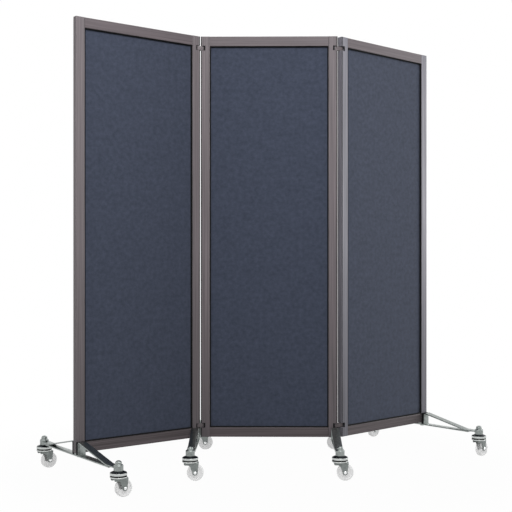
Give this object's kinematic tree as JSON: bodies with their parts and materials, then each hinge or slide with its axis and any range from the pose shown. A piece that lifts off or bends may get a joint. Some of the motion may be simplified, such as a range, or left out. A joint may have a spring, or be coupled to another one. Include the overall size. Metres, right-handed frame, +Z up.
{
  "type": "mobile privacy screen",
  "caption": "Folding privacy screen: tall fabric-covered panels in slim metal frames, linked by pin hinges, standing on triangular bar feet with swivel casters.",
  "frame": {"origin": "middle of the footprint's box, on the floor", "axes": "+X along the centre panel, left wing to right wing; +Y to the back; +Z up"},
  "size_m": [1.9352, 1.285, 1.814],
  "materials": {
    "frame": "warm grey coating on aluminium bar, low sheen",
    "fabric": "slate blue woven cloth",
    "zinc": "zinc-plated steel",
    "dark_steel": "blackened steel",
    "wheel": "white translucent nylon"
  },
  "bodies": {
    "centre_panel": {"centre_panel_left_stile": "frame", "centre_panel_right_stile": "frame", "centre_panel_bottom_rail": "frame", "centre_panel_top_rail": "frame", "centre_panel_fabric_board": "fabric", "left_hinge_top_right_pin": "dark_steel", "left_hinge_bottom_right_pin": "dark_steel", "right_hinge_top_left_pin": "dark_steel", "right_hinge_bottom_left_pin": "dark_steel", "right_hinge_foot_bolt": "zinc"},
    "left_links": {"left_hinge_top_link": "frame", "left_hinge_bottom_link": "frame"},
    "left_panel": {"left_panel_left_stile": "frame", "left_panel_right_stile": "frame", "left_panel_bottom_rail": "frame", "left_panel_top_rail": "frame", "left_panel_fabric_board": "fabric", "left_hinge_top_left_pin": "dark_steel", "left_hinge_bottom_left_pin": "dark_steel", "left_end_foot": "zinc", "left_end_foot_bolt": "zinc", "left_hinge_foot_bolt": "zinc"},
    "right_links": {"right_hinge_top_link": "frame", "right_hinge_bottom_link": "frame"},
    "right_panel": {"right_panel_left_stile": "frame", "right_panel_right_stile": "frame", "right_panel_bottom_rail": "frame", "right_panel_top_rail": "frame", "right_panel_fabric_board": "fabric", "right_hinge_top_right_pin": "dark_steel", "right_hinge_bottom_right_pin": "dark_steel", "right_end_foot": "zinc", "right_end_foot_bolt": "zinc"},
    "left_hinge_foot": {"left_hinge_foot": "zinc"},
    "right_hinge_foot": {"right_hinge_foot": "zinc"},
    "left_end_front_caster": {"left_end_front_fork": "zinc", "left_end_front_axle": "zinc"},
    "left_end_front_wheel": {"left_end_front_wheel": "wheel"},
    "left_end_back_caster": {"left_end_back_fork": "zinc", "left_end_back_axle": "zinc"},
    "left_end_back_wheel": {"left_end_back_wheel": "wheel"},
    "left_hinge_front_caster": {"left_hinge_front_fork": "zinc", "left_hinge_front_axle": "zinc"},
    "left_hinge_front_wheel": {"left_hinge_front_wheel": "wheel"},
    "left_hinge_back_caster": {"left_hinge_back_fork": "zinc", "left_hinge_back_axle": "zinc"},
    "left_hinge_back_wheel": {"left_hinge_back_wheel": "wheel"},
    "right_hinge_front_caster": {"right_hinge_front_fork": "zinc", "right_hinge_front_axle": "zinc"},
    "right_hinge_front_wheel": {"right_hinge_front_wheel": "wheel"},
    "right_hinge_back_caster": {"right_hinge_back_fork": "zinc", "right_hinge_back_axle": "zinc"},
    "right_hinge_back_wheel": {"right_hinge_back_wheel": "wheel"},
    "right_end_front_caster": {"right_end_front_fork": "zinc", "right_end_front_axle": "zinc"},
    "right_end_front_wheel": {"right_end_front_wheel": "wheel"},
    "right_end_back_caster": {"right_end_back_fork": "zinc", "right_end_back_axle": "zinc"},
    "right_end_back_wheel": {"right_end_back_wheel": "wheel"}
  },
  "joints": [
    {"name": "left_link_turn", "type": "hinge", "parent": "centre_panel", "child": "left_links", "pos_m": [-0.27847, -0.0148, 0], "axis": [0, 0, 1], "range_deg": [-19, 17]},
    {"name": "left_panel_turn", "type": "hinge", "parent": "left_links", "child": "left_panel", "pos_m": [-0.31062, -0.02587, 0], "axis": [0, 0, 1], "range_deg": [-19, 17]},
    {"name": "right_link_turn", "type": "hinge", "parent": "centre_panel", "child": "right_links", "pos_m": [0.27753, -0.0148, 0], "axis": [0, 0, 1], "range_deg": [-21.5, 14.5]},
    {"name": "right_panel_turn", "type": "hinge", "parent": "right_links", "child": "right_panel", "pos_m": [0.30916, -0.00234, 0], "axis": [0, 0, 1], "range_deg": [-21.5, 14.5]},
    {"name": "left_hinge_foot_swing", "type": "hinge", "parent": "left_panel", "child": "left_hinge_foot", "pos_m": [-0.31062, -0.02587, 0], "axis": [0, 0, 1], "range_deg": [0, 38]},
    {"name": "right_hinge_foot_swing", "type": "hinge", "parent": "centre_panel", "child": "right_hinge_foot", "pos_m": [0.27753, -0.0148, 0], "axis": [0, 0, 1], "range_deg": [0, 38]},
    {"name": "left_end_front_swivel", "type": "hinge", "parent": "left_panel", "child": "left_end_front_caster", "pos_m": [-0.55054, -0.61051, 0], "axis": [0, 0, 1], "continuous": true},
    {"name": "left_end_front_roll", "type": "hinge", "parent": "left_end_front_caster", "child": "left_end_front_wheel", "pos_m": [-0.53478, -0.5982, 0.0325], "axis": [-0.6157, 0.788, 0], "continuous": true},
    {"name": "left_end_back_swivel", "type": "hinge", "parent": "left_panel", "child": "left_end_back_caster", "pos_m": [-0.93594, -0.11722, 0], "axis": [0, 0, 1], "continuous": true},
    {"name": "left_end_back_roll", "type": "hinge", "parent": "left_end_back_caster", "child": "left_end_back_wheel", "pos_m": [-0.92018, -0.1049, 0.0325], "axis": [-0.6157, 0.788, 0], "continuous": true},
    {"name": "left_hinge_front_swivel", "type": "hinge", "parent": "left_hinge_foot", "child": "left_hinge_front_caster", "pos_m": [-0.31062, -0.33887, 0], "axis": [0, 0, 1], "continuous": true},
    {"name": "left_hinge_front_roll", "type": "hinge", "parent": "left_hinge_front_caster", "child": "left_hinge_front_wheel", "pos_m": [-0.29062, -0.33887, 0.0325], "axis": [0, 1, 0], "continuous": true},
    {"name": "left_hinge_back_swivel", "type": "hinge", "parent": "left_hinge_foot", "child": "left_hinge_back_caster", "pos_m": [-0.31062, 0.28713, 0], "axis": [0, 0, 1], "continuous": true},
    {"name": "left_hinge_back_roll", "type": "hinge", "parent": "left_hinge_back_caster", "child": "left_hinge_back_wheel", "pos_m": [-0.29062, 0.28713, 0.0325], "axis": [0, 1, 0], "continuous": true},
    {"name": "right_hinge_front_swivel", "type": "hinge", "parent": "right_hinge_foot", "child": "right_hinge_front_caster", "pos_m": [0.27753, -0.3278, 0], "axis": [0, 0, 1], "continuous": true},
    {"name": "right_hinge_front_roll", "type": "hinge", "parent": "right_hinge_front_caster", "child": "right_hinge_front_wheel", "pos_m": [0.29753, -0.3278, 0.0325], "axis": [0, 1, 0], "continuous": true},
    {"name": "right_hinge_back_swivel", "type": "hinge", "parent": "right_hinge_foot", "child": "right_hinge_back_caster", "pos_m": [0.27753, 0.2982, 0], "axis": [0, 0, 1], "continuous": true},
    {"name": "right_hinge_back_roll", "type": "hinge", "parent": "right_hinge_back_caster", "child": "right_hinge_back_wheel", "pos_m": [0.29753, 0.2982, 0.0325], "axis": [0, 1, 0], "continuous": true},
    {"name": "right_end_front_swivel", "type": "hinge", "parent": "right_panel", "child": "right_end_front_caster", "pos_m": [0.92414, 0.14317, 0], "axis": [0, 0, 1], "continuous": true},
    {"name": "right_end_front_roll", "type": "hinge", "parent": "right_end_front_caster", "child": "right_end_front_wheel", "pos_m": [0.93877, 0.15681, 0.0325], "axis": [-0.682, 0.7314, 0], "continuous": true},
    {"name": "right_end_back_swivel", "type": "hinge", "parent": "right_panel", "child": "right_end_back_caster", "pos_m": [0.49721, 0.60099, 0], "axis": [0, 0, 1], "continuous": true},
    {"name": "right_end_back_roll", "type": "hinge", "parent": "right_end_back_caster", "child": "right_end_back_wheel", "pos_m": [0.51184, 0.61463, 0.0325], "axis": [-0.682, 0.7314, 0], "continuous": true}
  ],
  "couplings": [
    {"joint": "left_panel_turn", "follows": "left_link_turn", "ratio": 1},
    {"joint": "right_panel_turn", "follows": "right_link_turn", "ratio": 1}
  ]
}
